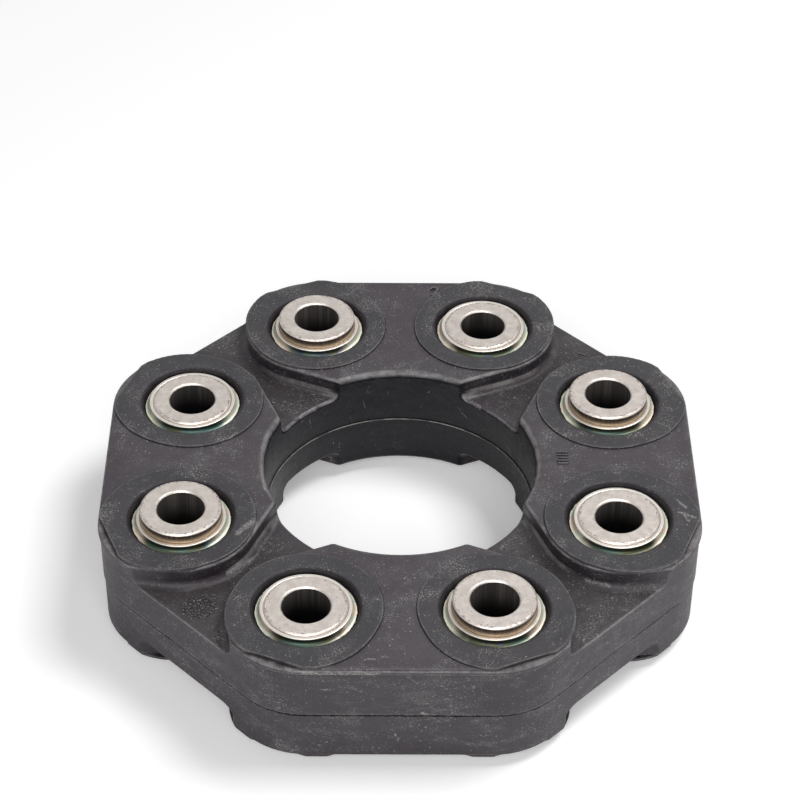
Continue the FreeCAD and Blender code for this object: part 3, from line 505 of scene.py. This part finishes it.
# Collars: pressed from sheet steel, zinc plated and passivated, so they are bright with a yellow,
# green and pink cast. Each is pressed on its sleeve, and its flange is moulded into the rubber.
passivated_collar, tree, shader, coords = new_material("passivated_collar")
spot = use_group(tree, bolt_place, {"Vector": coords.outputs["Object"]})
place, height, radius, angle = spot["Place"], spot["Height"], spot["Radius"], spot["Angle"]
level = calc(tree, "ABSOLUTE", height)
cast = cloud(tree, place, 0.16, 2.0, 0.5)
cast = calc(tree, "MULTIPLY_ADD", level, 0.12, cast)
hue = add_node(tree, "ShaderNodeValToRGB", {0: calc(tree, "FRACT", times(tree, cast, 1.6))})
stops = ((0.0, (0.88, 0.82, 0.62)), (0.3, (0.84, 0.84, 0.64)), (0.5, (0.72, 0.79, 0.66)),
         (0.75, (0.90, 0.74, 0.62)), (1.0, (0.88, 0.82, 0.62)))
for place_on_ramp, colour in stops[1:-1]:
    hue.color_ramp.elements.new(place_on_ramp)
for element, (place_on_ramp, colour) in zip(hue.color_ramp.elements, stops):
    element.position = place_on_ramp
    element.color = (*colour, 1.0)
rim = ramp(tree, level, COLLAR_RIM - 0.3, COLLAR_RIM - 0.05)
plate = tint(tree, rim, hue.outputs[0], (0.74, 0.70, 0.65))
tarnish = ramp(tree, cloud(tree, place, 1.3, 4.0, 0.75), 0.5, 0.7)
plate = coat(tree, plate, ((tarnish, 0.35, (0.46, 0.38, 0.26)),))

# On the near side, toward -Y, the neck is painted dark green and blue as a reflection of the dark rubber.
heading = calc(tree, "ADD", angle, calc(tree, "MULTIPLY_ADD", spot["Bolt"], BOLT_STEP, FIRST_BOLT))
swayed = calc(tree, "MULTIPLY_ADD", cloud(tree, place, 0.15, 2.0), 0.5, calc(tree, "SINE", heading))
neck_reflection = times(tree, ramp(tree, swayed, -0.25, -0.6), ramp(tree, radius, 11.2, 11.42),
             ramp(tree, level, COLLAR_RIM - 0.08, COLLAR_RIM - 0.25))
reflected_greens = tint(tree, ramp(tree, cloud(tree, place, 0.08, 3.0, 0.6), 0.4, 0.6),
              (0.020, 0.070, 0.066), (0.042, 0.048, 0.016))
reflected_greens = tint(tree, ramp(tree, cloud(tree, place, 0.3, 3.0, 0.6), 0.55, 0.66), reflected_greens, (0.012, 0.034, 0.070))
pale_foot = tint(tree, 0.72, hue.outputs[0], (0.02, 0.05, 0.04))
foot = patchy(tree, ramp(tree, radius, 12.0, 12.4), place, (0.12, 3.0, 0.6), (0.42, 0.6))
reflected_greens = tint(tree, foot, reflected_greens, pale_foot)
# painted reflection of the dark rubber on the near side of the neck
plate = tint(tree, times(tree, neck_reflection, 0.95), plate, reflected_greens)
tree.links.new(plate, shader.inputs["Base Color"])
bright = calc(tree, "MULTIPLY_ADD", calc(tree, "MAXIMUM", neck_reflection, rim), 0.35, 0.5)
tree.links.new(bright, shader.inputs["Metallic"])
rough = calc(tree, "MULTIPLY_ADD", cloud(tree, place, 0.8, 3.0, 0.6), 0.16, 0.34)
tree.links.new(rough, shader.inputs["Roughness"])
relief = add_node(tree, "ShaderNodeBump", {
    "Strength": 0.5, "Distance": 0.001, "Height": times(tree, cloud(tree, place, 1.8, 3.0), 0.03)})
tree.links.new(relief.outputs[0], shader.inputs["Normal"])
for side in ("upper", "lower"):
    for number in range(1, 9):
        dress("collar_%s_%d" % (side, number), passivated_collar)


# Washers between the cord layers: punched from plain sheet steel. They are sealed in the rubber.
plain_washer, tree, shader, coords = new_material("plain_washer")
spot = use_group(tree, bolt_place, {"Vector": coords.outputs["Object"]})
rolled = cloud(tree, vector_calc(tree, "MULTIPLY", spot["Place"], (0.2, 2.5, 1.0)), 1.0, 3.0)
tree.links.new(tint(tree, rolled, (0.38, 0.37, 0.36), (0.56, 0.55, 0.53)), shader.inputs["Base Color"])
shader.inputs["Metallic"].default_value = 1.0
tree.links.new(calc(tree, "MULTIPLY_ADD", rolled, 0.2, 0.3), shader.inputs["Roughness"])
for side in ("upper", "lower"):
    for number in range(1, 9):
        dress("spacer_%s_%d" % (side, number), plain_washer)


# Cord loops: thin polyester cord, dipped and wound in many turns round two sleeves. They are sealed
# in the rubber, between the washers.
dipped_cord, tree, shader, coords = new_material("dipped_cord")
spot = use_group(tree, bolt_place, {"Vector": coords.outputs["Object"]})
turns = add_node(tree, "ShaderNodeTexWave", {
    "Vector": spot["From Bolt"], "Scale": 0.32, "Distortion": 0.6, "Detail": 2.0},
    wave_type="BANDS", bands_direction="Z").outputs["Fac"]
tree.links.new(tint(tree, turns, (0.22, 0.13, 0.07), (0.50, 0.36, 0.22)), shader.inputs["Base Color"])
tree.links.new(calc(tree, "MULTIPLY_ADD", turns, 0.2, 0.6), shader.inputs["Roughness"])
relief = add_node(tree, "ShaderNodeBump", {
    "Strength": 0.8, "Distance": 0.001, "Height": times(tree, turns, 0.3)}).outputs[0]
tree.links.new(relief, shader.inputs["Normal"])
for side in ("upper", "middle", "lower"):
    for number in range(1, 5):
        dress("cord_%s_%d" % (side, number), dipped_cord)


# Marks of the mould: a stack of bars, a short dash, a knobbly round spot and a plain number, all of
# the body's rubber. They were cut in the mould, so they stand up from the skin as part of it.
def finish_piece(shape, name, material, smooth=True):
    """Make a piece that rides on the coupling of a bmesh in millimetres, and free the bmesh."""
    bmesh.ops.remove_doubles(shape, verts=shape.verts, dist=0.0005)
    bmesh.ops.recalc_face_normals(shape, faces=shape.faces)
    bmesh.ops.scale(shape, vec=(0.001, 0.001, 0.001), verts=shape.verts)
    mesh = bpy.data.meshes.new(name)
    shape.to_mesh(mesh)
    shape.free()
    for face in mesh.polygons:
        face.use_smooth = smooth
    piece = bpy.data.objects.new(name, mesh)
    bpy.context.scene.collection.objects.link(piece)
    mesh.materials.append(material)
    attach(piece, "root")


def turned(angle, at):
    """Stand a shape at a place, then turn the place about the shaft axis by this many degrees."""
    return Matrix.Rotation(math.radians(angle), 4, "Z") @ Matrix.Translation(at)


def add_block(shape, sizes, matrix, round_by):
    """Add a block with rounded edges to a bmesh."""
    block = bmesh.new()
    bmesh.ops.create_cube(block, size=1.0, matrix=Matrix.Diagonal((*sizes, 1.0)))
    bmesh.ops.bevel(block, geom=block.edges[:], offset=round_by, offset_type="OFFSET", segments=2,
                    profile=0.5, affect="EDGES", material=-1, clamp_overlap=True)
    bmesh.ops.transform(block, matrix=matrix, verts=block.verts)
    copied = bpy.data.meshes.new("block")
    block.to_mesh(copied)
    block.free()
    shape.from_mesh(copied)
    bpy.data.meshes.remove(copied)


BAR_COUNT = 5
BAR_STEP = 1.1
bars = bmesh.new()
for k in range(BAR_COUNT):
    bar_at = Vector((42.3, -1.7 + BAR_STEP * k, PAD_TOP + 0.05))
    add_block(bars, (2.9, 0.55, 0.6), Matrix.Translation(bar_at), 0.2)
finish_piece(bars, "bar_marks", moulded_rubber)

dash = bmesh.new()
add_block(dash, (0.5, 2.6, 0.5), turned(45, (71.5, 0.3, VALLEY_FLOOR)) @ Matrix.Rotation(0.5, 4, "Z"), 0.16)
finish_piece(dash, "dash_mark", moulded_rubber)

# The knobs are laid out in a spiral of even density, each moved and squashed a little by noise.
KNOB_COUNT = 70
SPOT_RADIUS = 4.2
SPOT_REACH = 70.3
SPOT_ANGLE = 225
GOLDEN_ANGLE = 2.39996
knobs = bmesh.new()
noise.seed_set(5)
for k in range(KNOB_COUNT):
    out = SPOT_RADIUS * math.sqrt((k + 0.5) / KNOB_COUNT)
    heading = k * GOLDEN_ANGLE
    wander = noise.noise_vector(Vector((k * 0.7, 1.3, 2.1))) * 0.5
    knob_at = Vector((SPOT_REACH + out * math.cos(heading), out * math.sin(heading),
                      VALLEY_FLOOR - 0.05)) + Vector((wander.x, wander.y, 0))
    knob_radius = 0.44 + 0.3 * noise.noise(Vector((k * 1.9, 0.4, 0.2)))
    squashed = Matrix.Diagonal((1.0 + wander.x, 1.0 + wander.y, 0.7, 1.0))
    bmesh.ops.create_icosphere(knobs, subdivisions=2, radius=knob_radius,
                               matrix=turned(SPOT_ANGLE, knob_at) @ squashed)
finish_piece(knobs, "knobbly_mark", moulded_rubber)

# The number is set as text and turned into a mesh. Text sizes are metres until it is scaled up.
written = bpy.data.curves.new("number_mark", "FONT")
written.body = "2"
written.size = 0.0056
written.extrude = 0.0004
written.bevel_depth = 0.00012
written.align_x = "CENTER"
written.align_y = "CENTER"
letter = bpy.data.objects.new("letter", written)
bpy.context.scene.collection.objects.link(letter)
bpy.context.view_layer.update()
number_shape = bmesh.new()
number_mesh = bpy.data.meshes.new_from_object(letter.evaluated_get(bpy.context.evaluated_depsgraph_get()))
number_shape.from_mesh(number_mesh)
bpy.data.objects.remove(letter)
bpy.data.curves.remove(written)
bpy.data.meshes.remove(number_mesh)
bmesh.ops.scale(number_shape, vec=(1000, 1000, 1000), verts=number_shape.verts)
bmesh.ops.translate(number_shape, vec=(9.95, 71.3, PAD_TOP), verts=number_shape.verts)
finish_piece(number_shape, "number_mark", moulded_rubber, smooth=False)


# Flash of the pockets: a thin ragged skin of the body's rubber, which crept over each collar's flange
# when the rubber was cured. It runs round the foot of the pocket and is one with the body.
# Its section is the radius and height of each corner, with the free edge second.
FLASH_SECTION = ((12.58, 14.22), (12.42, 14.25), (12.66, 14.42), (12.82, 14.40))
FREE_EDGE = 12.5


def flash_ring(name, number, top):
    """Turn the section about a bolt axis, make its free edge ragged and stand it in the pocket."""
    angle = FIRST_BOLT + BOLT_STEP * (number - 1)
    ring = bmesh.new()
    corners = [ring.verts.new((out, 0, up)) for out, up in FLASH_SECTION]
    edges = [ring.edges.new(ends) for ends in zip(corners, corners[1:])]
    bmesh.ops.spin(ring, geom=corners + edges, cent=(0, 0, 0), axis=(0, 0, 1), dvec=(0, 0, 0),
                   angle=math.tau, steps=120, use_merge=True)
    for vert in ring.verts:
        out = math.hypot(vert.co.x, vert.co.y)
        if out < FREE_EDGE:
            ragged = noise.noise(Vector((vert.co.x * 0.5, vert.co.y * 0.5, number * 7.0 + top)))
            ragged += 0.5 * noise.noise(Vector((vert.co.x * 2.2, vert.co.y * 2.2, number * 3.0 + top)))
            grow = (out + 0.05 - 0.16 * ragged) / out
            vert.co.x *= grow
            vert.co.y *= grow
    if not top:
        bmesh.ops.rotate(ring, cent=(0, 0, 0), matrix=Matrix.Rotation(math.pi, 3, "X"), verts=ring.verts)
    bmesh.ops.transform(ring, matrix=Matrix.Rotation(angle, 4, "Z")
                        @ Matrix.Translation((PITCH_RADIUS, 0, 0)), verts=ring.verts)
    finish_piece(ring, name, moulded_rubber)


for number in range(1, 9):
    flash_ring("flash_upper_%d" % number, number, True)
    flash_ring("flash_lower_%d" % number, number, False)


# Stage: a plain white table under soft studio light, seen as the photograph sees it. The table glows
# a little to the camera alone, and more further out, so it ends in white.
floor_shape = bmesh.new()
bmesh.ops.create_grid(floor_shape, x_segments=1, y_segments=1, size=4.0)
bmesh.ops.translate(floor_shape, vec=(0, 0, TABLE_HEIGHT / 1000.0), verts=floor_shape.verts)
floor_mesh = bpy.data.meshes.new("table_top")
floor_shape.to_mesh(floor_mesh)
floor_shape.free()
table_top = bpy.data.objects.new("table_top", floor_mesh)
bpy.context.scene.collection.objects.link(table_top)
table_white, tree, shader, coords = new_material("table_white")
shader.inputs["Base Color"].default_value = (0.9, 0.9, 0.9, 1.0)
shader.inputs["Emission Color"].default_value = (1.0, 1.0, 1.0, 1.0)
away = vector_calc(tree, "LENGTH", coords.outputs["Object"], out=1)
glow = ramp(tree, away, 0.3, 1.6, 0.26, 1.0)
camera_ray = tree.nodes.new("ShaderNodeLightPath").outputs["Is Camera Ray"]
tree.links.new(times(tree, camera_ray, glow), shader.inputs["Emission Strength"])
shader.inputs["Roughness"].default_value = 0.9
shader.inputs["Specular IOR Level"].default_value = 0.1
floor_mesh.materials.append(table_white)

# The room is white to the camera, and much dimmer in what it gives off and in mirrored light.
world = bpy.data.worlds.new("studio")
bpy.context.scene.world = world
world.use_nodes = True
tree = world.node_tree
tree.nodes.clear()
rays = tree.nodes.new("ShaderNodeLightPath").outputs
seen = calc(tree, "MAXIMUM", rays["Is Camera Ray"], rays["Is Transmission Ray"])
brightness = calc(tree, "MULTIPLY_ADD", seen, 0.87, 0.13)
brightness = calc(tree, "MULTIPLY_ADD", rays["Is Glossy Ray"], 0.6, brightness)
sky = add_node(tree, "ShaderNodeBackground", {"Color": (1.0, 1.0, 1.0, 1.0), "Strength": brightness})
leave = tree.nodes.new("ShaderNodeOutputWorld")
tree.links.new(sky.outputs[0], leave.inputs[0])


def add_lamp(name, at, size, power):
    """Soft rectangular lamp that is aimed at the middle of the coupling."""
    lamp = bpy.data.lights.new(name, "AREA")
    lamp.shape = "RECTANGLE"
    lamp.size, lamp.size_y = size
    lamp.energy = power
    holder = bpy.data.objects.new(name, lamp)
    bpy.context.scene.collection.objects.link(holder)
    holder.location = at
    holder.rotation_euler = (-Vector(at)).to_track_quat("-Z", "Y").to_euler()


add_lamp("key_light", (0.52, 0.12, 1.12), (0.5, 0.5), 9.6)
add_lamp("front_light", (-0.1, -0.95, 0.75), (1.0, 0.6), 8.0)

# Camera: focal length and place were fitted to the photograph. The focal length is in its pixels.
SENSOR_WIDTH = 36.0
PHOTO_WIDTH = 800.0
FOCAL_PIXELS = 2543.2
camera_data = bpy.data.cameras.new("camera")
camera_data.sensor_width = SENSOR_WIDTH
camera_data.lens = SENSOR_WIDTH * FOCAL_PIXELS / PHOTO_WIDTH
camera = bpy.data.objects.new("camera", camera_data)
bpy.context.scene.collection.objects.link(camera)
right = Vector((0.99998, -0.00114, 0.00604))
down = Vector((0.00392, -0.63942, -0.76886))
back = -Vector((0.00474, 0.76887, -0.63941))
camera.matrix_world = Matrix((
    (right.x, -down.x, back.x, -0.0032),
    (right.y, -down.y, back.y, -0.4992),
    (right.z, -down.z, back.z, 0.4504),
    (0.0, 0.0, 0.0, 1.0)))
bpy.context.scene.camera = camera
bpy.context.scene.view_settings.view_transform = "Standard"
